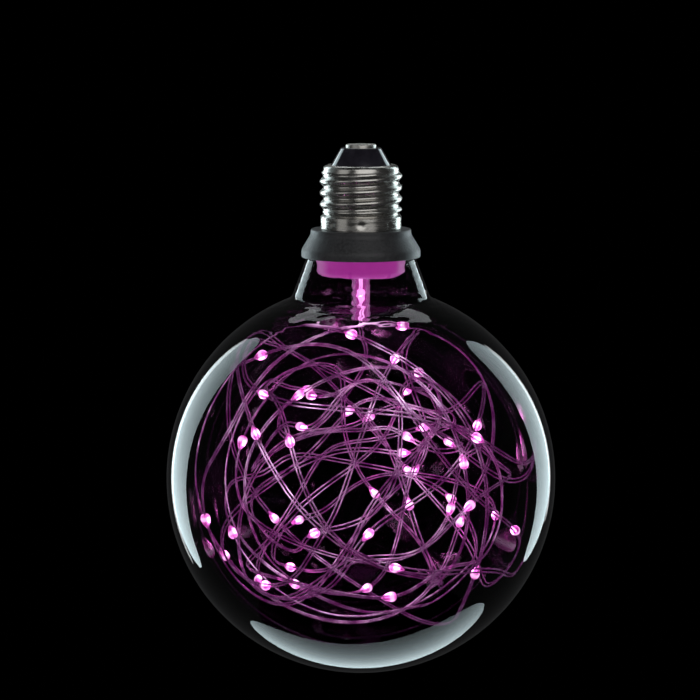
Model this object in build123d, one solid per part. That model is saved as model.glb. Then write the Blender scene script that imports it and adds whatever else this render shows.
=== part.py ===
from build123d import *
import math
import os

# LED globe bulb: a clear glass globe on a screw cap, with a string of lit resin drops wound inside.
# Millimetres, +Z up. The origin is the middle of the centre contact's outer face, and the bulb hangs
# down from there, cap upwards.

# Glass
globe_diameter = 125.0
glass_wall = 1.0
neck_length = 16.6
neck_foot_diameter = 44.4
neck_shoulder_radius = 3.0

# Gap on each side of pieces that slide together
fit = 0.1

# Screw cap
cap_height = 27.0
thread_diameter = 26.3
thread_depth = 1.1
thread_pitch = 3.63
thread_width = 2.5
thread_sink = 0.2
shell_wall = 0.45
shell_corner = 1.5
lip_width = 2.4
skirt_height = 4.0
skirt_step = 0.8
crimp_count = 8
crimp_radius = 0.9
crimp_depth = 0.25

# Glass insulator and centre contact
insulator_height = 5.5
insulator_flange = 2.2
insulator_shelf = 1.6
contact_diameter = 9.6
contact_height = 1.0
contact_edge = 0.35
shank_diameter = 3.2
shank_head_diameter = 4.6
shank_head_height = 0.6

# Plastic collar between the cap and the glass
collar_height = 9.0
collar_band = 1.6
collar_flare = 3.0
collar_gap = 0.5
collar_rim_band = 2.4
collar_wall = 1.2
collar_web = 4.5
collar_bore_diameter = 19.6
sleeve_height = 2.5
flare_radius = 3.0

# Cement that holds the glass rim in the collar
cement_thickness = 1.0
cement_width = 1.6

# Plug in the neck, and the clear sleeve that brings the wire out of it
plug_diameter = 28.2
plug_gap = 0.9
plug_height = 10.5
plug_wall = 1.2
plug_floor = 1.5
plug_corner = 2.0
stem_diameter = 5.7
stem_bore = 3.6
stem_length = 14.7
stem_flange_diameter = 9.0
stem_flange_height = 1.0
stem_corner = 0.7

# Driver board and the pieces on it
board_thickness = 1.0
board_length = 22.0
board_depth = 2.0
board_groove = 0.6
lead_diameter = 0.6
lead_overlap = 2.0
part_gap = 1.2
rectifier_size = (4.7, 2.4, 4.0)
chip_size = (3.9, 1.4, 4.9)
chip_pin_count = 4
chip_pin = (1.0, 0.3, 0.45)
chip_pin_pitch = 1.27
film_capacitor_size = (4.0, 5.5, 7.0)
can_diameter = 5.4
can_length = 9.0
can_groove = 0.35
resistor_diameter = 2.2
resistor_length = 6.2
resistor_waist = 0.25
body_edge = 0.4

# Light string: twin wire with a resin drop round each light
wire_size = 0.4
wire_pitch = 0.7
string_clearance = 2.6
layer_gap = 1.4
runs_per_turn = 24
lead_in_turns = 0.6
lead_in_skip = 3
curl_height = 8.1
curls_per_turn = 1.79
ripple_height = 6.3
ripples_per_turn = 4.19
ripple_beats_per_turn = 0.43
sway_angle = 12.0
sways_per_turn = 2.09
led_spacing = 112.0
bead_length = 5.0
bead_diameter = 3.2
bead_sides = 6
bead_clearance = 0.06
led_size = (1.6, 0.9, 0.6)

# Each turn of the string: the heading it leans to and how far it leans, in degrees, and how high its
# plane lies above the middle of the globe, as a share of the turn's radius.
string_turns = [
    (90, 14, 0.50),
    (70, 24, 0.58),
    (140, 30, 0.34),
    (200, 46, 0.10),
    (165, 60, -0.18),
    (105, 70, 0.14),
    (30, 64, 0.24),
    (-30, 50, -0.12),
    (-65, 36, -0.40),
    (-105, 24, -0.58),
    (-130, 26, -0.36),
    (-142, 30, -0.18),
    (-150, 34, 0.02),
    (-195, 56, 0.14),
    (-250, 76, 0.20),
    (-305, 68, -0.12),
    (-340, 42, 0.20),
    (-355, 24, 0.46),
    (-385, 34, 0.08),
]

# Heights, from the contact down
insulator_top = -contact_height
shell_top = insulator_top - insulator_height
insulator_foot = shell_top - shell_wall - insulator_flange
shell_foot = -cap_height
skirt_top = shell_foot + skirt_height
collar_foot = shell_foot - collar_height
web_foot = shell_foot - collar_web
neck_rim = web_foot - cement_thickness
plug_foot = web_foot - plug_height
plug_floor_top = plug_foot + plug_floor
stem_foot = plug_foot - stem_length
neck_foot = neck_rim - neck_length
globe_radius = globe_diameter / 2
foot_radius = neck_foot_diameter / 2
globe_middle = neck_foot - math.sqrt(globe_radius**2 - foot_radius**2)
overall_length = globe_radius - globe_middle
board_top = insulator_foot - board_depth
board_foot = board_top - board_length

# Radii
thread_radius = thread_diameter / 2
core_radius = thread_radius - thread_depth
skirt_radius = core_radius + skirt_step
shell_bore = core_radius - shell_wall
lip_radius = core_radius - lip_width
contact_radius = contact_diameter / 2
bore_radius = collar_bore_diameter / 2
plug_radius = plug_diameter / 2
plug_bore = plug_radius - plug_wall
neck_radius = plug_radius + plug_gap + glass_wall
neck_slope = (foot_radius - neck_radius) / neck_length
rim_radius = neck_radius + neck_slope * (neck_rim - collar_foot) + collar_gap + collar_wall
bead_radius = bead_diameter / 2
wire_span = wire_size * math.sqrt(2)

# Driver board
board_face = board_thickness / 2
lead_y = board_face + lead_diameter / 2
neutral_x = shank_head_diameter / 2 + lead_diameter

# Light string
turn_count = len(string_turns) - 1
string_outer = globe_radius - glass_wall - string_clearance
string_inner = string_outer - layer_gap * turn_count
string_y = board_face + wire_span / 2
stem_run = 3
led_height = (wire_span + led_size[2]) / 2 + bead_clearance / 2
bead_room = bead_length / 2 + (wire_pitch + wire_span) / 2 + 2 * bead_clearance


def turned(corners, rounds=()):
    """Solid turned about Z from the corners (radius, height) of its half section, some rounded."""
    section = make_face(Polyline(*corners, close=True))
    for corner, radius in rounds:
        section = fillet(section.vertices().sort_by_distance((*corner, 0))[0], radius)
    return revolve(Plane.XZ * section, Axis.Z)


def shell_body(inset):
    """Everything inside the screw shell's outer line, without the thread, moved in by inset."""
    core = core_radius - inset
    skirt = skirt_radius - inset
    top = shell_top - inset
    corners = [
        (0, top),
        (core, top),
        (core, skirt_top + skirt_step),
        (skirt, skirt_top),
        (skirt, shell_foot),
        (0, shell_foot),
    ]
    return turned(corners, [((core, top), shell_corner - inset)])


def thread_ridge():
    """Right-handed round thread, sunk a little into the shell."""
    half = thread_width / 2
    crest = [(-thread_sink, -half)]
    for rise, spread in ((0.55, -0.7), (1, -0.25), (1, 0.25), (0.55, 0.7)):
        crest.append((rise * thread_depth, spread * half))
    crest.append((-thread_sink, half))
    foot = skirt_top + skirt_step + half
    top = shell_top - shell_corner - half
    path = Pos(0, 0, foot) * Helix(thread_pitch, top - foot, core_radius)
    section = make_face(Polyline(*crest, close=True))
    return sweep(Plane(path @ 0, (1, 0, 0), path % 0) * section, path, is_frenet=True)


def screw_shell():
    """Pressed metal shell: rolled thread, lip over the insulator, crimped skirt."""
    shell = shell_body(0) - shell_body(shell_wall)
    shell -= Pos(0, 0, shell_top) * Cylinder(lip_radius, 4 * shell_wall)
    crimp_place = skirt_radius + crimp_radius - crimp_depth
    crimp_z = shell_foot + skirt_height / 2
    for place in PolarLocations(crimp_place, crimp_count):
        shell -= Pos(0, 0, crimp_z) * place * Sphere(crimp_radius)
    return shell + thread_ridge()


def cap_insulator():
    """Dark glass between the shell and the centre contact."""
    hole = shank_diameter / 2 + fit
    flange = shell_bore - fit
    flange_top = shell_top - shell_wall
    corners = [
        (hole, insulator_top),
        (contact_radius + insulator_shelf, insulator_top),
        (lip_radius - fit, shell_top),
        (lip_radius - fit, flange_top),
        (flange, flange_top),
        (flange, insulator_foot),
        (hole, insulator_foot),
    ]
    return turned(corners, [((flange, flange_top), shell_corner - shell_wall + fit)])


def centre_contact():
    """Rivet: flat contact disc, shank through the insulator, spread head below it."""
    head = shank_head_diameter / 2
    shank = shank_diameter / 2
    head_foot = insulator_foot - shank_head_height
    corners = [
        (0, 0),
        (contact_radius, 0),
        (contact_radius, insulator_top),
        (shank, insulator_top),
        (shank, insulator_foot),
        (head, insulator_foot),
        (head, head_foot),
        (0, head_foot),
    ]
    return turned(corners, [((contact_radius, 0), contact_edge)])


def base_collar():
    """Moulded collar: spigot in the screw shell, flared skirt over the glass neck, board slots."""
    spigot = shell_bore - fit
    skirt = skirt_radius - shell_wall - fit
    shoulder = rim_radius - collar_flare
    sleeve = plug_bore - fit
    flare_top = (shoulder, shell_foot - collar_band)
    flare_foot = (rim_radius, collar_foot + collar_rim_band)
    collar = turned(
        [
            (bore_radius, insulator_foot),
            (spigot, insulator_foot),
            (spigot, skirt_top - fit),
            (skirt, skirt_top - fit),
            (skirt, shell_foot),
            (shoulder, shell_foot),
            flare_top,
            flare_foot,
            (rim_radius, collar_foot),
            (rim_radius - collar_wall, collar_foot),
            (neck_radius + cement_width / 2, web_foot),
            (sleeve, web_foot),
            (sleeve, web_foot - sleeve_height),
            (bore_radius, web_foot - sleeve_height),
        ],
        [(flare_top, flare_radius), (flare_foot, flare_radius)],
    )
    slot_length = board_top - (web_foot - sleeve_height)
    slot_width = 2 * (bore_radius + board_groove)
    slot = Box(slot_width, board_thickness + 2 * fit, slot_length, align=(Align.CENTER, Align.CENTER, Align.MAX))
    notch_width = lead_diameter + 4 * fit
    notch = Box(notch_width, spigot, 2 * notch_width, align=(Align.CENTER, Align.MAX, Align.CENTER))
    return collar - Pos(0, 0, board_top) * slot - Pos(neutral_x, -lead_y, insulator_foot) * notch


def glass_globe():
    """Blown globe drawn out into a conical neck, open at the rim."""
    reach = 2 * neck_shoulder_radius
    wide = foot_radius + neck_slope * reach
    narrow = neck_radius - neck_slope * reach
    neck = make_face(Polyline(
        (-wide, neck_foot - reach),
        (wide, neck_foot - reach),
        (narrow, neck_rim + reach),
        (-narrow, neck_rim + reach),
        close=True,
    ))
    outline = Pos(0, globe_middle) * Circle(globe_radius) + neck
    for side in (-1, 1):
        corner = outline.vertices().sort_by_distance((side * foot_radius, neck_foot, 0))[0]
        outline = fillet(corner, neck_shoulder_radius)
    wall = outline - offset(outline, -glass_wall)
    below_rim = Pos(0, neck_rim) * Rectangle(globe_diameter, overall_length, align=(Align.MIN, Align.MAX))
    return revolve(Plane.XZ * (wall & below_rim), Axis.Z)


def neck_cement():
    """Ring of silicone between the glass rim and the collar."""
    inner = neck_radius - cement_width / 2 - glass_wall / 2
    outer = inner + cement_width
    return turned([(inner, neck_rim), (outer, neck_rim), (outer, web_foot), (inner, web_foot)])


def neck_plug():
    """Milky cup that closes the neck and hides the driver."""
    hole = stem_diameter / 2 + fit
    corners = [
        (plug_bore, web_foot),
        (plug_radius, web_foot),
        (plug_radius, plug_foot),
        (hole, plug_foot),
        (hole, plug_floor_top),
        (plug_bore, plug_floor_top),
    ]
    inner_corner = max(plug_corner - plug_wall, fit)
    return turned(corners, [((plug_radius, plug_foot), plug_corner), ((plug_bore, plug_floor_top), inner_corner)])


def wire_stem():
    """Clear sleeve that hangs by its flange from the plug's floor."""
    radius = stem_diameter / 2
    bore = stem_bore / 2
    flange = stem_flange_diameter / 2
    flange_top = plug_floor_top + stem_flange_height
    corners = [
        (bore, flange_top),
        (flange, flange_top),
        (flange, plug_floor_top),
        (radius, plug_floor_top),
        (radius, stem_foot),
        (bore, stem_foot),
    ]
    return turned(corners, [((radius, stem_foot), stem_corner)])


def driver_board():
    """Circuit board that stands in the collar's slots."""
    width = 2 * (bore_radius + board_groove - fit)
    board = Box(width, board_thickness, board_length, align=(Align.CENTER, Align.CENTER, Align.MAX))
    return Pos(0, 0, board_top) * board


def on_board(piece_size, x, top, side):
    """Place of a piece that lies on the board: side 1 is the +Y face, side -1 the -Y face."""
    return Pos(x, side * (board_face + piece_size[1] / 2), top - piece_size[2] / 2)


def moulded_block(size):
    """Box with its edges along Y rounded."""
    block = Box(*size)
    return fillet(block.edges().filter_by(Axis.Y), body_edge)


parts_top = board_top - lead_overlap - part_gap


def rectifier():
    """Bridge rectifier on the back of the board."""
    x = -(rectifier_size[0] + part_gap) / 2
    return on_board(rectifier_size, x, parts_top, -1) * moulded_block(rectifier_size)


def driver_chip():
    """Driver chip on the back of the board, with a row of pins down each side."""
    chip = moulded_block(chip_size)
    reach = (chip_size[0] + chip_pin[0]) / 2
    drop = (chip_size[1] - chip_pin[1]) / 2
    for side in (-1, 1):
        for place in GridLocations(1, chip_pin_pitch, 1, chip_pin_count):
            chip += Pos(side * reach, drop, place.position.Y) * Box(*chip_pin)
    top = parts_top - max(rectifier_size[2], resistor_length) - part_gap
    return on_board(chip_size, 0, top, -1) * chip


def film_capacitor():
    """Film capacitor on the front of the board."""
    x = (film_capacitor_size[0] + part_gap) / 2
    return on_board(film_capacitor_size, x, parts_top, 1) * moulded_block(film_capacitor_size)


def smoothing_capacitor():
    """Smoothing capacitor in a rolled can, lying on the front of the board."""
    radius = can_diameter / 2
    waist = radius - can_groove
    can = turned([
        (0, 0),
        (radius, 0),
        (radius, -can_length + 5 * can_groove),
        (waist, -can_length + 4 * can_groove),
        (waist, -can_length + 3 * can_groove),
        (radius, -can_length + 2 * can_groove),
        (radius, -can_length),
        (0, -can_length),
    ])
    return Pos(-(can_diameter + part_gap) / 2, board_face + radius, parts_top) * can


def fuse_resistor():
    """Fusible resistor on the back of the board, waisted between its end caps."""
    radius = resistor_diameter / 2
    waist = radius - resistor_waist
    cap = resistor_length / 5
    body = turned([
        (0, 0),
        (radius, 0),
        (radius, -cap),
        (waist, -1.5 * cap),
        (waist, -resistor_length + 1.5 * cap),
        (radius, -resistor_length + cap),
        (radius, -resistor_length),
        (0, -resistor_length),
    ])
    return Pos((resistor_diameter + part_gap) / 2 + part_gap, -board_face - radius, parts_top) * body


def live_lead():
    """Straight wire from the board to the head of the contact rivet."""
    foot = board_top - lead_overlap
    length = insulator_foot - shank_head_height - foot
    wire = Cylinder(lead_diameter / 2, length, align=(Align.CENTER, Align.CENTER, Align.MIN))
    return Pos(0, lead_y, foot) * wire


def neutral_lead():
    """Bent wire from the board through the collar's notch to the inside of the screw shell."""
    bend = insulator_foot - lead_diameter / 2 - fit
    wall = math.sqrt(shell_bore**2 - (neutral_x + lead_diameter / 2) ** 2)
    path = FilletPolyline(
        (neutral_x, -lead_y, board_top - lead_overlap),
        (neutral_x, -lead_y, bend),
        (neutral_x, -wall, bend),
        radius=lead_diameter,
    )
    return sweep(Plane(path @ 0, z_dir=path % 0) * Circle(lead_diameter / 2), path)


def smooth(share):
    """Ease from 0 to 1 with no kink at either end."""
    return share * share * (3 - 2 * share)


def wave(turns):
    """Height of a wave of height 1 that many turns along it."""
    return math.sin(2 * math.pi * turns)


def winding_point(turn):
    """Point of the string that many turns along it, before its lead-in is drawn to the stem.

    Each turn lies on a sphere outside the one before, and wanders across and along it as loose wire does.
    """
    row = min(int(turn), turn_count - 1)
    share = smooth(turn - row)
    heading, lean, lift = (a + (b - a) * share for a, b in zip(string_turns[row], string_turns[row + 1]))
    radius = string_inner + layer_gap * turn
    ripple = ripple_height * wave(ripple_beats_per_turn * turn) * wave(ripples_per_turn * turn)
    rise = math.asin(lift) + (curl_height * wave(curls_per_turn * turn) + ripple) / radius
    spin = 360 * turn + sway_angle * wave(sways_per_turn * turn) - heading
    point = Vector(radius * math.cos(rise), 0, radius * math.sin(rise))
    point = point.rotate(Axis.Z, spin).rotate(Axis.Y, lean).rotate(Axis.Z, heading)
    return point + Vector(0, 0, globe_middle)


def string_knots():
    """Corners of the string's path, from the board down the stem and round the globe."""
    stem_middle = (plug_floor_top + stem_foot) / 2
    exit_point = Vector(0, 0, stem_foot - bead_length)
    knots = [
        Vector(0, string_y, board_foot + lead_overlap),
        Vector(0, string_y, board_foot),
        Vector(0, 0, plug_floor_top + stem_flange_height),
        Vector(0, 0, stem_middle + bead_length),
        Vector(0, 0, stem_middle - bead_length),
        exit_point,
    ]
    for step in range(lead_in_skip, turn_count * runs_per_turn + 1):
        turn = step / runs_per_turn
        away = smooth(min(1, turn / lead_in_turns))
        knots.append(exit_point + (winding_point(turn) - exit_point) * away)
    return knots


def across(knots, place):
    """Direction from one wire to the other at a knot: level in the stem, then flat on the globe."""
    run = knots[min(place + 1, len(knots) - 1)] - knots[max(place - 1, 0)]
    settled = min(1, max(0, place - stem_run) / (lead_in_turns * runs_per_turn))
    outward = Vector(knots[place].X, knots[place].Y + bead_radius, settled * (knots[place].Z - globe_middle))
    return run.cross(outward).normalized()


def wire_along(path):
    """Square wire whose four corners are carried along each run to the mitre at the next knot."""
    half = wire_size / 2
    start = Plane(path[0], z_dir=path[1] - path[0])
    corners = [start.from_local_coords(Vector(x, y)) for x, y in
               ((-half, -half), (half, -half), (half, half), (-half, half))]
    faces = [Face(Wire.make_polygon(corners))]
    for place in range(1, len(path)):
        run = (path[place] - path[place - 1]).normalized()
        onward = (path[place + 1] - path[place]).normalized() if place + 1 < len(path) else run
        mitre = run + onward
        carried = [c + run * ((path[place] - c).dot(mitre) / run.dot(mitre)) for c in corners]
        for side in range(4):
            faces.append(Face(Wire.make_polygon(
                [corners[side - 1], corners[side], carried[side], carried[side - 1]]
            )))
        corners = carried
    faces.append(Face(Wire.make_polygon(corners)))
    return Solid(Shell(faces))


def led_wires(knots):
    """The string's two wires, side by side."""
    paths = [
        [knot + across(knots, place) * side * wire_pitch for place, knot in enumerate(knots)]
        for side in (-0.5, 0.5)
    ]
    return Compound([wire_along(path) for path in paths])


def gap_to_run(point, start, end):
    """Distance from a point to the straight run between two knots."""
    run = end - start
    share = max(0, min(1, (point - start).dot(run) / run.dot(run)))
    return (start + run * share - point).length


def led_places(knots):
    """A plane for each light: one in the stem, then one at each even length, moved on where it is tight."""
    places = []
    to_go = 0
    for run in range(stem_run, len(knots) - 2):
        start, end = knots[run], knots[run + 1]
        middle = (start + end) / 2
        length = (end - start).length
        to_go -= length
        if to_go > 0 or length < bead_length + wire_span:
            continue
        others = [k for k in range(len(knots) - 1) if abs(k - run) > 1]
        if min(gap_to_run(middle, knots[k], knots[k + 1]) for k in others) < bead_room:
            continue
        if any((middle - place.origin).length < bead_length + bead_clearance for place in places):
            continue
        width = across(knots, run) + across(knots, run + 1)
        places.append(Plane(middle, end - start, (end - start).cross(width)))
        to_go += led_spacing
    return places


def bead_form():
    """Resin drop, with a slot for the two wires and a pocket for the light."""
    sections = [
        Plane((share * bead_length, 0, 0), z_dir=(1, 0, 0)) * RegularPolygon(girth * bead_radius, bead_sides)
        for share, girth in ((-0.5, 0.5), (-0.22, 1), (0.16, 0.9), (0.5, 0.42))
    ]
    slot = Box(2 * bead_length, wire_pitch + wire_span + 2 * bead_clearance, wire_span + 2 * bead_clearance)
    pocket = Box(*(side + 2 * bead_clearance for side in led_size))
    return loft(sections, ruled=True) - slot - Pos(0, 0, led_height) * pocket


def led_form():
    """Light: a small block that sits across both wires."""
    return Pos(0, 0, led_height) * Box(*led_size)


def repeated(form, places):
    """One copy of a form at each place."""
    return Compound([place * form for place in places])


def main():
    knots = string_knots()
    places = led_places(knots)
    nodes = {
        "screw_shell": screw_shell(),
        "cap_insulator": cap_insulator(),
        "centre_contact": centre_contact(),
        "base_collar": base_collar(),
        "glass_globe": glass_globe(),
        "neck_cement": neck_cement(),
        "neck_plug": neck_plug(),
        "wire_stem": wire_stem(),
        "driver_board": driver_board(),
        "rectifier": rectifier(),
        "driver_chip": driver_chip(),
        "film_capacitor": film_capacitor(),
        "smoothing_capacitor": smoothing_capacitor(),
        "fuse_resistor": fuse_resistor(),
        "live_lead": live_lead(),
        "neutral_lead": neutral_lead(),
        "led_wires": led_wires(knots),
        "led_chips": repeated(led_form(), places),
        "led_beads": repeated(bead_form(), places),
    }
    os.makedirs("parts", exist_ok=True)
    for name, solid in nodes.items():
        export_step(solid, f"parts/{name}.step")
    print(f"{overall_length:.1f} mm long, with {len(places)} lights on the string")


main()
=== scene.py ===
import math

import bmesh
import bpy
from mathutils import Matrix, Vector


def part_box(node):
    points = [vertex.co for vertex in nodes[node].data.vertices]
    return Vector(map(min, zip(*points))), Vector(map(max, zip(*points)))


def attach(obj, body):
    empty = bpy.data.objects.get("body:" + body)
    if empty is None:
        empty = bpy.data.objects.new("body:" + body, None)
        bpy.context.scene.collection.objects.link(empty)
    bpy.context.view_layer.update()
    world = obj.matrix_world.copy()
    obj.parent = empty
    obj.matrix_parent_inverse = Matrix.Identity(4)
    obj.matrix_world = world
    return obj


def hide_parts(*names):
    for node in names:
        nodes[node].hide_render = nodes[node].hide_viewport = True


# LED globe bulb, dressed for the photograph's view in a dark studio with a pale floor.
# Metres, +Z up. The bulb hangs from the middle of its centre contact, which is the origin.

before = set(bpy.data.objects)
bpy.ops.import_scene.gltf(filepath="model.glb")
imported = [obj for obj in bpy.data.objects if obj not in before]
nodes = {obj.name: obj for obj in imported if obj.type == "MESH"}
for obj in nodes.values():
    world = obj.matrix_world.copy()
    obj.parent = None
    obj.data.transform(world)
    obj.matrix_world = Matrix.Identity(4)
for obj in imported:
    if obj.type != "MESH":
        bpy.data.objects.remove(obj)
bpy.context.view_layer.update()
mm = 0.001

# Camera, with its elevation and its angle of view in degrees
camera_target = Vector((-3.5, 0, -66)) * mm
camera_distance = 1.1
camera_elevation = 7
camera_angle = 11.65

# Mesh fineness, and the angle in degrees from which an edge stays sharp
turn_steps = 144
round_steps = 6
ball_steps = 110
bead_sides = 20
bead_steps = 14
wire_rounding = 2
wire_steps = 4
floor_sides = 96
sharp_angle = 40
on_axis = 1e-9

# Glass
glass_low, glass_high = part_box("glass_globe")
globe_radius = glass_high.x
globe_middle = glass_low.z + globe_radius
neck_rim = glass_high.z
glass_wall = 1.0 * mm
neck_radius = 16.0 * mm
neck_length = 16.6 * mm
foot_radius = 22.2 * mm
neck_shoulder_radius = 3.0 * mm

# Streaks where the glass was drawn out to the neck: full at the shoulder and nearly gone at the rim
shoulder_depth = 9.0 * mm
streak_pitch = 2.4 * mm
streak_height = 0.09 * mm
streak_swirl = 6
rim_streak_share = 0.06

# Screw cap
shell_low, shell_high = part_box("screw_shell")
thread_depth = 1.1 * mm
thread_pitch = 3.63 * mm
thread_fade = 1.6 * mm
thread_step = 0.22 * mm
thread_start = 0.35
thread_crest = 0.9
core_radius = 12.05 * mm
skirt_radius = 12.85 * mm
skirt_height = 4.0 * mm
skirt_step = 0.8 * mm
shell_wall = 0.45 * mm
shell_corner = 1.5 * mm
shell_edge = 0.1 * mm
lip_radius = 9.65 * mm
crimp_count = 8
crimp_depth = 0.3 * mm
crimp_radius = 0.75 * mm

# Insulator and centre contact
insulator_low, insulator_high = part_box("cap_insulator")
contact_low, contact_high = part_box("centre_contact")
contact_radius = contact_high.x
contact_flat = 0.62 * contact_radius
contact_edge = 0.35 * mm
shank_radius = 1.6 * mm
shank_head_radius = 2.3 * mm
insulator_shelf = 1.6 * mm
insulator_edge = 0.8 * mm
insulator_lip_edge = 0.3 * mm
insulator_flange_edge = 1.1 * mm
fit = 0.1 * mm

# Collar
collar_low, collar_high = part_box("base_collar")
collar_rim_radius = collar_high.x
collar_flare = 3.0 * mm
collar_band = 1.6 * mm
collar_rim_band = 2.4 * mm
collar_wall = 1.2 * mm
collar_bore = 9.8 * mm
collar_edge = 0.4 * mm
flare_radius = 3.0 * mm
sleeve_height = 2.5 * mm
cement_width = 1.6 * mm

# Plug and wire sleeve
plug_low, plug_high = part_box("neck_plug")
plug_radius = plug_high.x
plug_wall = 1.2 * mm
plug_floor = 1.5 * mm
plug_corner = 2.0 * mm
hole_edge = 0.2 * mm
stem_low, stem_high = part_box("wire_stem")
stem_radius = 2.85 * mm
stem_bore = 1.8 * mm
stem_flange_height = 1.0 * mm
stem_corner = 0.7 * mm

# Light string
board_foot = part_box("driver_board")[0].z
board_face = 0.5 * mm
lead_overlap = 2.0 * mm
wire_size = 0.4 * mm
wire_pitch = 0.7 * mm
wire_radius = 0.27 * mm
pair_spread = 0.55
spread_wave = 0.61
spread_beat = 0.173
string_clearance = 2.6 * mm
layer_gap = 1.4 * mm
runs_per_turn = 24
lead_in_turns = 0.6
lead_in_skip = 3
curl_height = 8.1 * mm
curls_per_turn = 1.79
ripple_height = 6.3 * mm
ripples_per_turn = 4.19
ripple_beats_per_turn = 0.43
sway_angle = 12.0
sways_per_turn = 2.09
led_spacing = 112 * mm
bead_length = 5.0 * mm
bead_radius = 1.6 * mm
bead_clearance = 0.06 * mm
stem_run = 3

# Resin drops: blunt at the light and drawn out behind it, with places as shares of their length
drop_bluntness = 0.72
drop_roundness = 0.62
drop_taper = 0.28
drop_tip = 0.12
drop_variety = 0.08
drop_size_wave = 1.7
drop_flip_wave = 2.4
stem_drop_girth = 0.95
glow_place = 0.33
glow_reach = 0.18

# Each turn of the string: the heading it leans to and how far it leans, in degrees, and how high its
# plane lies above the middle of the globe, as a share of the turn's radius.
string_turns = [
    (90, 14, 0.50),
    (70, 24, 0.58),
    (140, 30, 0.34),
    (200, 46, 0.10),
    (165, 60, -0.18),
    (105, 70, 0.14),
    (30, 64, 0.24),
    (-30, 50, -0.12),
    (-65, 36, -0.40),
    (-105, 24, -0.58),
    (-130, 26, -0.36),
    (-142, 30, -0.18),
    (-150, 34, 0.02),
    (-195, 56, 0.14),
    (-250, 76, 0.20),
    (-305, 68, -0.12),
    (-340, 42, 0.20),
    (-355, 24, 0.46),
    (-385, 34, 0.08),
]
turn_count = len(string_turns) - 1
string_inner = globe_radius - glass_wall - string_clearance - layer_gap * turn_count
wire_span = wire_size * math.sqrt(2)
string_y = board_face + wire_span / 2
bead_room = bead_length / 2 + (wire_pitch + wire_span) / 2 + 2 * bead_clearance

# Colours, linear
led_magenta = (1.0, 0.10, 0.72)
led_white = (1.0, 0.72, 0.96)
# Violet of the painted glow on the wires, standing for the drops' magenta light
wire_painted_glow = (0.5, 0.03, 0.42)
studio_cool = (0.92, 0.97, 1.0)
studio_teal = (0.77, 0.95, 1.0)
studio_white = (1.0, 1.0, 1.0)
world_pale = (0.95, 0.97, 1.0)

# Finishes: fineness of their noise, the shares of it between which they change, how many radians a wave
# texture of scale 1 runs through in a metre, and how brightly the drops glow
noise_detail = 4
wave_radians = 20
ramp_start = 0.3
ramp_end = 0.7
drop_level = 0.65
drop_end_level = 0.08

# Studio: how bright the surroundings are to matt and to shiny surfaces, and the floor
soft_level = 0.45
gloss_level = 0.03
floor_radius = 0.8
floor_height = -1.1

# Each softbox: its name, place, size, level and colour. Those behind the bulb are ellipses, and some run
# from one share of their level to another along their height.
back_softboxes = [
    ("left_softbox", (-0.86, 0.86, 0.02), (0.58, 1.60), 3.8, studio_teal, (1.25, 0.5)),
    ("left_strip", (-0.68, 1.02, -0.04), (0.12, 1.20), 2.3, studio_cool, None),
    ("right_softbox", (0.86, 0.86, 0.02), (0.52, 1.50), 3.6, studio_teal, (1.2, 0.6)),
    ("right_strip", (0.68, 1.02, 0.0), (0.10, 0.90), 2.3, studio_cool, None),
    ("low_softbox", (0.07, 0.46, -0.90), (1.2, 0.62), 2.2, studio_teal, (0.5, 1.3)),
    ("top_softbox", (0, 0.75, 0.85), (1.0, 0.42), 1.5, studio_cool, None),
]
plain_softboxes = [
    ("front_light", (0.35, -1.3, 0.55), (1.6, 1.5), 0.9, studio_white),
    ("side_light", (-1.25, -0.85, 0.35), (0.9, 1.2), 0.45, studio_white),
]
wire_softboxes = [
    ("wire_strip", (-0.75, -1.05, 0.2), (0.16, 1.4), 60, studio_cool),
    ("wire_top", (0.4, -0.7, 1.1), (1.3, 0.3), 42, studio_cool),
]


# Shapes


def smooth(share):
    """Ease from 0 to 1 with no kink at either end."""
    return share * share * (3 - 2 * share)


def rounded(corners):
    """Outline of (radius, height) points from corners (radius, height, rounding), rounded by arcs."""
    outline = []
    for place, (radius, height, rounding) in enumerate(corners):
        corner = Vector((radius, height))
        before = (Vector(corners[place - 1][:2]) - corner).normalized()
        after = (Vector(corners[(place + 1) % len(corners)][:2]) - corner).normalized()
        if not rounding:
            outline.append(corner)
            continue
        half = before.angle(after) / 2
        centre = corner + (before + after).normalized() * rounding / math.sin(half)
        start = corner + before * rounding / math.tan(half) - centre
        end = corner + after * rounding / math.tan(half) - centre
        for step in range(round_steps + 1):
            outline.append(centre + rounding * start.slerp(end, step / round_steps).normalized())
    return outline


def lathe(outline, swell=None):
    """Vertices and faces turned about Z. Ends on the axis close in a pole, and other outlines are rings."""
    vertices = []
    rings = []
    for radius, height in outline:
        ring = []
        for step in range(turn_steps if radius > on_axis else 1):
            turn = 2 * math.pi * step / turn_steps
            reach = radius + swell(turn, radius, height) if swell else radius
            ring.append(len(vertices))
            vertices.append((reach * math.cos(turn), reach * math.sin(turn), height))
        rings.append(ring)
    if outline[0][0] > on_axis:
        rings.append(rings[0])
    faces = []
    for lower, upper in zip(rings, rings[1:]):
        for step in range(turn_steps):
            corners = [
                lower[step % len(lower)],
                lower[(step + 1) % len(lower)],
                upper[(step + 1) % len(upper)],
                upper[step % len(upper)],
            ]
            faces.append(list(dict.fromkeys(corners)))
    return vertices, faces


def piece(name, vertices, faces, material, slot, *replaced):
    """Smooth mesh object on the bulb's one body, standing for the solids it replaces."""
    mesh = bpy.data.meshes.new(name)
    mesh.from_pydata(vertices, [], faces)
    form = bmesh.new()
    form.from_mesh(mesh)
    bmesh.ops.recalc_face_normals(form, faces=form.faces)
    form.to_mesh(mesh)
    form.free()
    mesh.shade_smooth()
    mesh.set_sharp_from_angle(angle=math.radians(sharp_angle))
    mesh.materials.append(material)
    made = bpy.data.objects.new(name, mesh)
    bpy.context.scene.collection.objects.link(made)
    return dress(made, slot, *replaced)


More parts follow.
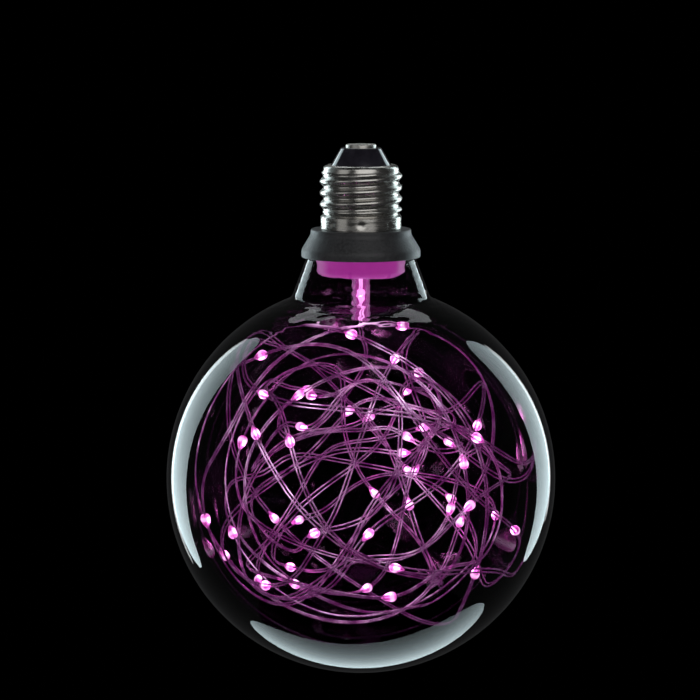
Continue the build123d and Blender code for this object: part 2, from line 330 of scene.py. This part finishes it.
def dress(made, slot, *replaced):
    """A piece rides the bulb's body and hides the solids it stands for; the name of its finish in slot is
    not used.
    """
    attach(made, "root")
    if replaced:
        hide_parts(*replaced)
    return made


# Materials


def set_sockets(node, sockets):
    """Sets a node's sockets by name, with colours made opaque."""
    for name, value in sockets.items():
        socket = node.inputs[name.replace("_", " ")]
        is_colour = isinstance(value, tuple) and len(socket.default_value) == 4
        socket.default_value = (*value, 1) if is_colour else value


def add_node(tree, kind, **sockets):
    """New shader node of that kind, with its sockets set by name."""
    node = tree.nodes.new("ShaderNode" + kind)
    set_sockets(node, sockets)
    return node


def finish(name, **sockets):
    """Material with one shader, its sockets set by name."""
    material = bpy.data.materials.new(name)
    material.use_nodes = True
    set_sockets(material.node_tree.nodes["Principled BSDF"], sockets)
    return material


def noise(material, feature, stretch=(1, 1, 1)):
    """Noise in the object's own space, with features of about that size in metres."""
    tree = material.node_tree
    place = add_node(tree, "TexCoord")
    scale = add_node(tree, "Mapping", Scale=stretch)
    texture = add_node(tree, "TexNoise", Scale=1 / feature, Detail=noise_detail)
    tree.links.new(place.outputs["Object"], scale.inputs["Vector"])
    tree.links.new(scale.outputs["Vector"], texture.inputs["Vector"])
    return texture.outputs["Fac"]


def spread(material, socket, source, low, high):
    """Runs a shader socket from low to high, numbers or colours, as the source goes from dark to light."""
    tree = material.node_tree
    ramp = add_node(tree, "ValToRGB")
    for element, place, value in zip(ramp.color_ramp.elements, (ramp_start, ramp_end), (low, high)):
        element.position = place
        element.color = (*value, 1) if isinstance(value, tuple) else (value, value, value, 1)
    tree.links.new(source, ramp.inputs["Fac"])
    tree.links.new(ramp.outputs["Color"], tree.nodes["Principled BSDF"].inputs[socket])


def lift(material, source, height):
    """Bump of that height in metres from a source."""
    tree = material.node_tree
    bump = add_node(tree, "Bump", Distance=height)
    tree.links.new(source, bump.inputs["Height"])
    tree.links.new(bump.outputs["Normal"], tree.nodes["Principled BSDF"].inputs["Normal"])


def grained(name, dark, light, feature, roughness, bump=0.02 * mm, stretch=(1, 1, 1), **sockets):
    """Material whose colour, roughness and surface all vary with one noise."""
    material = finish(name, **sockets)
    source = noise(material, feature, stretch)
    spread(material, "Base Color", source, dark, light)
    spread(material, "Roughness", source, roughness[0], roughness[1])
    lift(material, source, bump)
    return material


def height_share(material, low, high):
    """How far up a surface point lies between two heights, from 0 to 1."""
    tree = material.node_tree
    place = add_node(tree, "TexCoord")
    split = add_node(tree, "SeparateXYZ")
    share = add_node(tree, "MapRange", From_Min=low, From_Max=high)
    tree.links.new(place.outputs["Object"], split.inputs["Vector"])
    tree.links.new(split.outputs["Z"], share.inputs["Value"])
    return share.outputs["Result"]


def neck_streaks(material):
    """Wavy streaks round the glass: none on the globe, full at the shoulder and faint at the rim."""
    tree = material.node_tree
    drawn = add_node(tree, "ValToRGB")
    stops = drawn.color_ramp.elements
    stops.new(shoulder_depth / (neck_length + shoulder_depth))
    for stop, share in zip(stops, (0, 1, rim_streak_share)):
        stop.color = (share, share, share, 1)
    up_the_neck = height_share(material, neck_rim - neck_length - shoulder_depth, neck_rim)
    tree.links.new(up_the_neck, drawn.inputs["Fac"])
    place = add_node(tree, "TexCoord")
    scale = 2 * math.pi / (wave_radians * streak_pitch)
    waves = add_node(tree, "TexWave", Scale=scale, Distortion=streak_swirl, Detail=1)
    waves.bands_direction = "Z"
    tree.links.new(place.outputs["Object"], waves.inputs["Vector"])
    streaks = add_node(tree, "Math")
    streaks.operation = "MULTIPLY"
    tree.links.new(drawn.outputs["Color"], streaks.inputs[0])
    tree.links.new(waves.outputs["Fac"], streaks.inputs[1])
    return streaks.outputs[0]


def clear_glass():
    """Clear glass, even on the globe and streaked where it was drawn out to the neck."""
    material = finish(
        "clear_glass", Base_Color=(0.985, 1.0, 0.995), IOR=1.45, Transmission_Weight=1.0,
        Specular_Tint=(0.25, 0.25, 0.25),
    )
    spread(material, "Roughness", noise(material, 14 * mm, (1, 1, 0.4)), 0.0, 0.004)
    lift(material, neck_streaks(material), streak_height)
    return material


def drop_resin():
    """Pink resin lit from inside: brightest round the light and dimmer towards the ends."""
    material = finish(
        "drop_resin", Base_Color=(0.92, 0.34, 0.78), Roughness=0.06, IOR=1.3, Transmission_Weight=0.7,
    )
    tree = material.node_tree
    glow = add_node(tree, "Attribute")
    glow.attribute_name = "glow"
    strength = add_node(tree, "Math")
    strength.operation = "MULTIPLY_ADD"
    strength.inputs[1].default_value = drop_level
    strength.inputs[2].default_value = drop_end_level
    tree.links.new(glow.outputs["Fac"], strength.inputs[0])
    spread(material, "Emission Color", glow.outputs["Fac"], led_magenta, led_white)
    tree.links.new(strength.outputs[0], tree.nodes["Principled BSDF"].inputs["Emission Strength"])
    lift(material, noise(material, 1.2 * mm), 0.05 * mm)
    return material


def string_wire():
    """Fine lacquered silver wire, with the drops' magenta light painted in as a violet cast and a faint
    glow, and a bright painted glow in the stem.
    """
    # Painted light: the violet cast in the silver wire's colours is the drops' magenta light, and its dark
    # and pale stretches stand partly for painted glints
    material = grained(
        "string_wire", (0.20, 0.03, 0.19), (1.0, 0.62, 0.92), 5 * mm, (0.11, 0.22), 0.02 * mm,
        Metallic=1.0, Coat_Weight=0.5, Coat_Roughness=0.06,
    )
    # Painted glow: faint violet along the wires, and bright white-pink from the foot of the stem up, where
    # the drop in the stem lights them
    painted_glow_share = height_share(material, stem_low.z - bead_radius, stem_low.z + bead_radius)
    spread(material, "Emission Color", painted_glow_share, wire_painted_glow, led_white)
    spread(material, "Emission Strength", painted_glow_share, 0.08, 1.3)
    return material


def nickel_shell():
    """Nickel-plated pressed shell, lightly scuffed round the thread."""
    return grained(
        "nickel_shell", (0.50, 0.485, 0.45), (0.72, 0.70, 0.66), 3.5 * mm, (0.16, 0.34), 0.015 * mm,
        (1, 1, 5), Metallic=1.0,
    )


def contact_metal():
    """Dull tinned contact."""
    return grained(
        "contact_metal", (0.48, 0.46, 0.42), (0.74, 0.72, 0.68), 1.6 * mm, (0.25, 0.5), 0.04 * mm,
        Metallic=1.0,
    )


def black_glass():
    """Black insulating glass with a fired gloss."""
    return grained(
        "black_glass", (0.006, 0.005, 0.008), (0.016, 0.014, 0.02), 4 * mm, (0.06, 0.16), 0.03 * mm,
        Coat_Weight=0.6, Coat_Roughness=0.05,
    )


def collar_plastic():
    """Black plastic with a fine moulded grain."""
    return grained(
        "collar_plastic", (0.010, 0.010, 0.011), (0.026, 0.026, 0.028), 0.7 * mm, (0.36, 0.56), 0.09 * mm,
    )


def plug_plastic():
    """Milky white plastic, with the string's magenta light painted into its colour and a painted glow."""
    # Painted light: the magenta colour and the glow are the string's light on white plastic
    return grained(
        "plug_plastic", (0.30, 0.05, 0.25), (0.42, 0.09, 0.35), 7 * mm, (0.26, 0.40), 0.02 * mm,
        Subsurface_Weight=0.2, Subsurface_Scale=0.002, Coat_Weight=1.0, Coat_Roughness=0.08,
        Emission_Color=(0.60, 0.035, 0.44), Emission_Strength=0.45,
    )


def sleeve_plastic():
    """Clear, faintly pink silicone sleeve, with the light of the drop inside it painted in as a deeper pink
    and a faint glow.
    """
    # Painted light: the deep pink and the glow are the light of the drop inside the sleeve
    return grained(
        "sleeve_plastic", (0.86, 0.42, 0.78), (0.96, 0.60, 0.90), 3 * mm, (0.06, 0.16), 0.04 * mm,
        Transmission_Weight=0.95, IOR=1.41, Emission_Color=(0.8, 0.06, 0.58), Emission_Strength=0.07,
    )


def led_die():
    """Lit light, far brighter than its surroundings."""
    return grained(
        "led_die", (0.9, 0.7, 0.85), (1.0, 0.85, 0.97), 0.3 * mm, (0.4, 0.5), 0.01 * mm,
        Emission_Color=(1.0, 0.42, 0.88), Emission_Strength=9.0,
    )


# Finish of each solid that keeps its shape out of sight: its material, dark and light colours, size of
# grain in millimetres, least and most roughness, and whether it is metal.
hidden_finishes = {
    "neck_cement": ("silicone", (0.78, 0.78, 0.75), (0.88, 0.88, 0.86), 2.0, (0.45, 0.6), 0.0),
    "driver_board": ("board", (0.02, 0.16, 0.06), (0.04, 0.24, 0.09), 1.2, (0.35, 0.5), 0.0),
    "rectifier": ("black_epoxy", (0.012, 0.012, 0.012), (0.03, 0.03, 0.03), 0.3, (0.5, 0.65), 0.0),
    "driver_chip": ("black_epoxy", (0.012, 0.012, 0.012), (0.03, 0.03, 0.03), 0.3, (0.5, 0.65), 0.0),
    "film_capacitor": ("film_box", (0.62, 0.42, 0.03), (0.78, 0.55, 0.06), 1.5, (0.3, 0.45), 0.0),
    "smoothing_capacitor": ("can_sleeve", (0.01, 0.02, 0.05), (0.03, 0.05, 0.1), 2.0, (0.25, 0.35), 0.0),
    "fuse_resistor": ("resistor_lacquer", (0.05, 0.2, 0.3), (0.1, 0.3, 0.42), 1.0, (0.3, 0.45), 0.0),
    "live_lead": ("lead_wire", (0.6, 0.58, 0.55), (0.75, 0.74, 0.72), 1.0, (0.2, 0.35), 1.0),
    "neutral_lead": ("lead_wire", (0.6, 0.58, 0.55), (0.75, 0.74, 0.72), 1.0, (0.2, 0.35), 1.0),
}


def dress_hidden():
    """Finishes for the solids inside the cap and collar, which keep their own shapes."""
    made = {}
    for node, (name, dark, light, feature, roughness, metallic) in hidden_finishes.items():
        if name not in made:
            made[name] = grained(name, dark, light, feature * mm, roughness, Metallic=metallic)
        repaint(nodes[node], made[name])


def repaint(solid, material):
    """Gives a solid that keeps its shape a new material."""
    solid.data.materials.clear()
    solid.data.materials.append(material)


# Glass, cap and collar


def glass_outline(inset):
    """Half section of the glass moved in by inset, from the rim down to the lowest point."""
    rim = Vector((neck_radius, neck_rim))
    down = Vector((foot_radius - neck_radius, -neck_length)).normalized()
    out = Vector((-down.y, down.x))
    middle = Vector((0, globe_middle))
    beside = rim + out * neck_shoulder_radius - middle
    along = beside.dot(down)
    reach = globe_radius + neck_shoulder_radius
    run = -along - math.sqrt(along**2 - beside.length_squared + reach**2)
    hollow = middle + beside + down * run
    first = math.atan2(-out.y, -out.x)
    last = math.atan2(middle.y - hollow.y, middle.x - hollow.x)
    outline = [Vector((neck_radius - inset / out.x, neck_rim))]
    for step in range(2 * round_steps + 1):
        angle = first + (last - first) * step / (2 * round_steps)
        outline.append(hollow + (neck_shoulder_radius + inset) * Vector((math.cos(angle), math.sin(angle))))
    top = last + math.pi
    for step in range(1, ball_steps + 1):
        angle = top - (top + math.pi / 2) * step / ball_steps
        ball = globe_radius - inset
        outline.append(middle + ball * Vector((math.cos(angle), math.sin(angle))))
    outline[-1].x = 0
    return outline


def glass_globe():
    """Globe and neck as one wall, its inner and outer sides."""
    outline = [*reversed(glass_outline(glass_wall)), *glass_outline(0)]
    globe = piece("globe_glass", *lathe(outline), clear_glass(), "clear_glass", "glass_globe")
    globe.visible_shadow = False
    return globe


def shell_swell(turn, radius, height):
    """Rolled thread on the shell's wall, and dimples round its skirt."""
    skirt_top = shell_low.z + skirt_height
    foot = skirt_top + skirt_step
    top = shell_high.z - shell_corner
    if radius > skirt_radius - on_axis and height < skirt_top:
        spacing = 2 * math.pi / crimp_count
        sideways = (turn + spacing / 2) % spacing - spacing / 2
        apart = math.hypot(sideways * radius, height - shell_low.z - skirt_height / 2)
        return -crimp_depth * math.exp(-((apart / crimp_radius) ** 2))
    if not foot < height < top or radius < core_radius - shell_wall - on_axis:
        return 0
    share = min(1, (height - foot) / thread_fade, (top - height) / thread_fade)
    crest = math.cos(2 * math.pi * ((height - foot) / thread_pitch - thread_start) - turn)
    return thread_depth * smooth(share) * (0.5 + 0.5 * crest) ** thread_crest


def wall_heights(low, high):
    """Heights up a threaded wall, close enough together for the thread to be round."""
    count = round((high - low) / thread_step)
    return [low + (high - low) * step / count for step in range(1, count)]


def screw_shell():
    """Pressed shell with its skirt, rolled thread and inward lip."""
    skirt_top = shell_low.z + skirt_height
    foot = skirt_top + skirt_step
    top = shell_high.z
    bore = core_radius - shell_wall
    heights = wall_heights(foot, top - shell_corner)
    skirt_heights = wall_heights(shell_low.z, skirt_top)
    outer = [(core_radius, z, 0) for z in reversed(heights)]
    skirt = [(skirt_radius, z, 0) for z in reversed(skirt_heights)]
    inner = [(bore, z, 0) for z in heights]
    outline = rounded([
        (lip_radius, top - shell_wall, 0),
        (lip_radius, top, shell_edge),
        (core_radius, top, shell_corner),
        *outer,
        (core_radius, foot, 0),
        (skirt_radius, skirt_top, 0),
        *skirt,
        (skirt_radius, shell_low.z, shell_edge),
        (skirt_radius - shell_wall, shell_low.z, shell_edge),
        (skirt_radius - shell_wall, skirt_top, 0),
        (bore, foot, 0),
        *inner,
        (bore, top - shell_wall, shell_corner - shell_wall),
    ])
    return piece("cap_shell", *lathe(outline, shell_swell), nickel_shell(), "nickel_shell", "screw_shell")


def cap_insulator():
    """Black glass dome that keeps the contact clear of the shell."""
    hole = shank_radius + fit
    flange = core_radius - shell_wall - fit
    flange_top = shell_high.z - shell_wall
    outline = rounded([
        (hole, insulator_high.z, 0),
        (contact_radius + insulator_shelf, insulator_high.z, insulator_edge),
        (lip_radius - fit, shell_high.z, insulator_lip_edge),
        (lip_radius - fit, flange_top, 0),
        (flange, flange_top, insulator_flange_edge),
        (flange, insulator_low.z, 0),
        (hole, insulator_low.z, 0),
    ])
    return piece("cap_glass", *lathe(outline), black_glass(), "black_glass", "cap_insulator")


def centre_contact():
    """Contact disc and the rivet that holds it through the insulator."""
    outline = rounded([
        (0, 0, 0),
        (contact_flat, 0, 0),
        (contact_radius, 0, contact_edge),
        (contact_radius, insulator_high.z, 0),
        (shank_radius, insulator_high.z, 0),
        (shank_radius, insulator_low.z, 0),
        (shank_head_radius, insulator_low.z, 0),
        (shank_head_radius, contact_low.z, 0),
        (0, contact_low.z, 0),
    ])
    return piece("contact_disc", *lathe(outline), contact_metal(), "contact_metal", "centre_contact")


def base_collar():
    """Moulded collar between the cap and the neck, with its flared rim."""
    shell_foot = shell_low.z
    web_foot = plug_high.z
    spigot = core_radius - shell_wall - fit
    skirt = skirt_radius - shell_wall - fit
    skirt_top = shell_foot + skirt_height - fit
    sleeve = plug_radius - plug_wall - fit
    outline = rounded([
        (collar_bore, collar_high.z, 0),
        (spigot, collar_high.z, 0),
        (spigot, skirt_top, 0),
        (skirt, skirt_top, 0),
        (skirt, shell_foot, 0),
        (collar_rim_radius - collar_flare, shell_foot, collar_edge),
        (collar_rim_radius - collar_flare, shell_foot - collar_band, flare_radius),
        (collar_rim_radius, collar_low.z + collar_rim_band, flare_radius),
        (collar_rim_radius, collar_low.z, collar_edge),
        (collar_rim_radius - collar_wall, collar_low.z, collar_edge),
        (neck_radius + cement_width / 2, web_foot, 0),
        (sleeve, web_foot, 0),
        (sleeve, web_foot - sleeve_height, 0),
        (collar_bore, web_foot - sleeve_height, 0),
    ])
    return piece("collar", *lathe(outline), collar_plastic(), "collar_plastic", "base_collar")


def neck_plug():
    """Cup that closes the neck, with a hole for the stem."""
    hole = stem_radius + fit
    bore = plug_radius - plug_wall
    floor_top = plug_low.z + plug_floor
    outline = rounded([
        (bore, plug_high.z, 0),
        (plug_radius, plug_high.z, 0),
        (plug_radius, plug_low.z, plug_corner),
        (hole, plug_low.z, hole_edge),
        (hole, floor_top, 0),
        (bore, floor_top, plug_corner - plug_wall),
    ])
    return piece("plug_cup", *lathe(outline), plug_plastic(), "plug_plastic", "neck_plug")


def wire_stem():
    """Sleeve that hangs by its flange from the plug's floor."""
    flange = stem_high.x
    flange_foot = stem_high.z - stem_flange_height
    outline = rounded([
        (stem_bore, stem_high.z, 0),
        (flange, stem_high.z, hole_edge),
        (flange, flange_foot, 0),
        (stem_radius, flange_foot, 0),
        (stem_radius, stem_low.z, stem_corner),
        (stem_bore, stem_low.z, hole_edge),
    ])
    stem = piece("stem_sleeve", *lathe(outline), sleeve_plastic(), "sleeve_plastic", "wire_stem")
    stem.visible_shadow = False
    return stem


# Light string


def turned(point, degrees, axis):
    """Point turned about an axis through the origin."""
    return Matrix.Rotation(math.radians(degrees), 3, axis) @ point


def wave(turns):
    """Height of a wave of height 1 that many turns along it."""
    return math.sin(2 * math.pi * turns)


def winding_point(turn):
    """Point of the string that many turns along it, before its lead-in is drawn to the stem."""
    row = min(int(turn), turn_count - 1)
    share = smooth(turn - row)
    ends = zip(string_turns[row], string_turns[row + 1])
    heading, lean, lift_share = (before + (after - before) * share for before, after in ends)
    radius = string_inner + layer_gap * turn
    ripple = ripple_height * wave(ripple_beats_per_turn * turn) * wave(ripples_per_turn * turn)
    rise = math.asin(lift_share) + (curl_height * wave(curls_per_turn * turn) + ripple) / radius
    spin = 360 * turn + sway_angle * wave(sways_per_turn * turn) - heading
    point = radius * Vector((math.cos(rise), 0, math.sin(rise)))
    point = turned(turned(turned(point, spin, "Z"), lean, "Y"), heading, "Z")
    return point + Vector((0, 0, globe_middle))


def string_knots():
    """Corners of the string's path, from the board down the stem and round the globe."""
    floor_top = plug_low.z + plug_floor
    stem_middle = (floor_top + stem_low.z) / 2
    exit_point = Vector((0, 0, stem_low.z - bead_length))
    knots = [
        Vector((0, string_y, board_foot + lead_overlap)),
        Vector((0, string_y, board_foot)),
        Vector((0, 0, stem_high.z)),
        Vector((0, 0, stem_middle + bead_length)),
        Vector((0, 0, stem_middle - bead_length)),
        exit_point,
    ]
    for step in range(lead_in_skip, turn_count * runs_per_turn + 1):
        turn = step / runs_per_turn
        away = smooth(min(1, turn / lead_in_turns))
        knots.append(exit_point + (winding_point(turn) - exit_point) * away)
    return knots


def across(knots, place):
    """Direction from one wire to the other at a knot: level in the stem, then flat on the globe."""
    run = knots[min(place + 1, len(knots) - 1)] - knots[max(place - 1, 0)]
    settled = min(1, max(0, place - stem_run) / (lead_in_turns * runs_per_turn))
    knot = knots[place]
    outward = Vector((knot.x, knot.y + bead_radius, settled * (knot.z - globe_middle)))
    return run.cross(outward).normalized()


def gap_to_run(point, start, end):
    """Distance from a point to the straight run between two knots."""
    run = end - start
    share = max(0, min(1, (point - start).dot(run) / run.dot(run)))
    return (start + run * share - point).length


def led_places(knots):
    """A frame for each light: one in the stem, then one at each even length, moved on where it is tight."""
    places = []
    to_go = 0
    for run in range(stem_run, len(knots) - 2):
        start, end = knots[run], knots[run + 1]
        middle = (start + end) / 2
        length = (end - start).length
        to_go -= length
        if to_go > 0 or length < bead_length + wire_span:
            continue
        others = [k for k in range(len(knots) - 1) if abs(k - run) > 1]
        if min(gap_to_run(middle, knots[k], knots[k + 1]) for k in others) < bead_room:
            continue
        if any((middle - place.translation).length < bead_length + bead_clearance for place in places):
            continue
        x = (end - start).normalized()
        z = x.cross(across(knots, run) + across(knots, run + 1)).normalized()
        place = Matrix((x, z.cross(x), z)).transposed().to_4x4()
        place.translation = middle
        places.append(place)
        to_go += led_spacing
    return places


def string_wires(knots):
    """The two wires, side by side and a little apart here and there."""
    curve = bpy.data.curves.new("string_wires", "CURVE")
    curve.dimensions = "3D"
    curve.bevel_depth = wire_radius
    curve.bevel_resolution = wire_rounding
    curve.resolution_u = wire_steps
    curve.use_fill_caps = True
    for side in (-0.5, 0.5):
        spline = curve.splines.new("NURBS")
        spline.points.add(len(knots) - 1)
        for place, (point, knot) in enumerate(zip(spline.points, knots)):
            loose = 1 + pair_spread * (1 + math.sin(spread_wave * place) * math.sin(spread_beat * place))
            if place <= stem_run + 1:
                loose = 1
            point.co = (*(knot + across(knots, place) * side * wire_pitch * loose), 1)
        spline.order_u = 3
        spline.use_endpoint_u = True
    curve.materials.append(string_wire())
    wires = bpy.data.objects.new("string_wires", curve)
    bpy.context.scene.collection.objects.link(wires)
    return dress(wires, "string_wire", "led_wires")


def drop_rings(flip, size):
    """Rings of a resin drop along X, as (place, radius, glow)."""
    rings = []
    for step in range(bead_steps + 1):
        share = step / bead_steps
        reach = (share - 0.5) * bead_length * flip
        girth = math.sin(math.pi * share**drop_bluntness) ** drop_roundness
        girth = max(drop_tip, girth * (1 - drop_taper * share))
        glow = math.exp(-(((share - glow_place) / glow_reach) ** 2))
        rings.append((reach, girth * bead_radius * size, glow))
    return rings


def resin_drops(places):
    """One smooth drop round each light, no two quite alike."""
    vertices = []
    faces = []
    glows = []
    stem_drop = [(reach, stem_drop_girth * girth, 1.0) for reach, girth, _ in drop_rings(1, 1)]
    for count, place in enumerate(places):
        flip = 1 if math.sin(drop_flip_wave * count) > 0 else -1
        size = 1 + drop_variety * math.sin(drop_size_wave * count)
        rings = drop_rings(flip, size) if count else stem_drop
        first = len(vertices)
        for reach, girth, glow in rings:
            for side in range(bead_sides):
                turn = 2 * math.pi * side / bead_sides
                vertices.append(place @ Vector((reach, girth * math.cos(turn), girth * math.sin(turn))))
                glows.append(glow)
        for ring in range(len(rings) - 1):
            here = first + ring * bead_sides
            above = here + bead_sides
            for side in range(bead_sides):
                after = (side + 1) % bead_sides
                faces.append([here + side, here + after, above + after, above + side])
        faces.append([first + side for side in range(bead_sides)])
        last = first + (len(rings) - 1) * bead_sides
        faces.append([last + side for side in range(bead_sides)])
    drops = piece("resin_drops", vertices, faces, drop_resin(), "resin_drop", "led_beads")
    attribute = drops.data.attributes.new("glow", "FLOAT", "POINT")
    attribute.data.foreach_set("value", glows)
    drops.visible_shadow = False
    return drops


# Studio


def softbox(name, place, size, level, colour, receivers=None):
    """Soft light that faces the globe: an ellipse, or a rectangle that lights its receivers alone."""
    light = bpy.data.lights.new(name, "AREA")
    light.shape = "RECTANGLE" if receivers else "ELLIPSE"
    light.size, light.size_y = size
    area = size[0] * size[1] * (1 if receivers else math.pi / 4)
    light.energy = math.pi * area * level
    light.color = colour
    lamp = bpy.data.objects.new(name, light)
    lamp.location = place
    aim = Vector((0, 0, globe_middle)) - Vector(place)
    lamp.rotation_euler = aim.to_track_quat("-Z", "Y").to_euler()
    lamp.visible_camera = False
    lamp.visible_transmission = False
    bpy.context.scene.collection.objects.link(lamp)
    if receivers:
        group = bpy.data.collections.new(name + "_receivers")
        for receiver in receivers:
            group.objects.link(receiver)
        lamp.light_linking.receiver_collection = group
    return lamp


def fade(lamp, near, far):
    """Lets a softbox run from near to far along its own Y, as shares of its level."""
    lamp.data.use_nodes = True
    tree = lamp.data.node_tree
    place = add_node(tree, "NewGeometry")
    split = add_node(tree, "SeparateXYZ")
    share = add_node(tree, "MapRange", To_Min=near, To_Max=far)
    share.interpolation_type = "SMOOTHSTEP"
    tree.links.new(place.outputs["Parametric"], split.inputs["Vector"])
    tree.links.new(split.outputs["Y"], share.inputs["Value"])
    tree.links.new(share.outputs["Result"], tree.nodes["Emission"].inputs["Strength"])


def studio_lights(plain_pieces, wires):
    """Softboxes behind the bulb for its glass, and in front for its plain pieces and for its wires."""
    for *box, ends in back_softboxes:
        lamp = softbox(*box)
        if ends:
            fade(lamp, *ends)
    for box in plain_softboxes:
        softbox(*box, plain_pieces)
    for box in wire_softboxes:
        softbox(*box, [wires])


def dark_world():
    """Black to the eye and through glass, nearly black in gloss, and soft and pale to everything else."""
    world = bpy.data.worlds.new("studio")
    world.use_nodes = True
    tree = world.node_tree
    tree.nodes.clear()
    path = add_node(tree, "LightPath")
    seen = add_node(tree, "Math")
    seen.operation = "MAXIMUM"
    tree.links.new(path.outputs["Is Camera Ray"], seen.inputs[0])
    tree.links.new(path.outputs["Is Transmission Ray"], seen.inputs[1])
    surface = add_node(tree, "Background", Color=world_pale, Strength=soft_level).outputs[0]
    for mask, level in ((path.outputs["Is Glossy Ray"], gloss_level), (seen.outputs[0], 0)):
        there = add_node(tree, "Background", Color=world_pale, Strength=level)
        mix = add_node(tree, "MixShader")
        tree.links.new(mask, mix.inputs["Fac"])
        tree.links.new(surface, mix.inputs[1])
        tree.links.new(there.outputs[0], mix.inputs[2])
        surface = mix.outputs[0]
    output = add_node(tree, "OutputWorld")
    tree.links.new(surface, output.inputs["Surface"])
    bpy.context.scene.world = world


def floor_paper():
    """Pale matt paper that mirrors and glass don't reflect."""
    material = grained(
        "floor_paper", (0.72, 0.72, 0.71), (0.78, 0.78, 0.77), 0.05, (0.7, 0.8), 0.1 * mm,
    )
    tree = material.node_tree
    path = add_node(tree, "LightPath")
    mix = add_node(tree, "MixShader")
    dark = add_node(tree, "Emission", Strength=0)
    tree.links.new(path.outputs["Glossy Depth"], mix.inputs["Fac"])
    tree.links.new(tree.nodes["Principled BSDF"].outputs[0], mix.inputs[1])
    tree.links.new(dark.outputs[0], mix.inputs[2])
    tree.links.new(mix.outputs[0], tree.nodes["Material Output"].inputs["Surface"])
    return material


def pale_floor():
    """Plain pale disc on the ground, well below the hanging bulb."""
    mesh = bpy.data.meshes.new("floor")
    form = bmesh.new()
    bmesh.ops.create_circle(form, cap_ends=True, segments=floor_sides, radius=floor_radius)
    form.to_mesh(mesh)
    form.free()
    mesh.materials.append(floor_paper())
    floor = bpy.data.objects.new("floor", mesh)
    floor.location.z = floor_height
    bpy.context.scene.collection.objects.link(floor)


def photo_camera():
    """Camera at the photograph's height and angle."""
    data = bpy.data.cameras.new("camera")
    data.angle = math.radians(camera_angle)
    camera = bpy.data.objects.new("camera", data)
    rise = math.radians(camera_elevation)
    back = Vector((0, -math.cos(rise), math.sin(rise)))
    camera.location = camera_target + back * camera_distance
    camera.rotation_euler = (-back).to_track_quat("-Z", "Y").to_euler()
    bpy.context.scene.collection.objects.link(camera)
    bpy.context.scene.camera = camera


def main():
    """The dressed bulb, its studio and its camera."""
    knots = string_knots()
    glass_globe()
    plain = [screw_shell(), cap_insulator(), centre_contact(), base_collar()]
    neck_plug()
    wire_stem()
    wires = string_wires(knots)
    resin_drops(led_places(knots))
    repaint(nodes["led_chips"], led_die())
    dress_hidden()
    studio_lights(plain, wires)
    dark_world()
    pale_floor()
    photo_camera()
    bpy.context.scene.view_settings.view_transform = "Standard"


main()
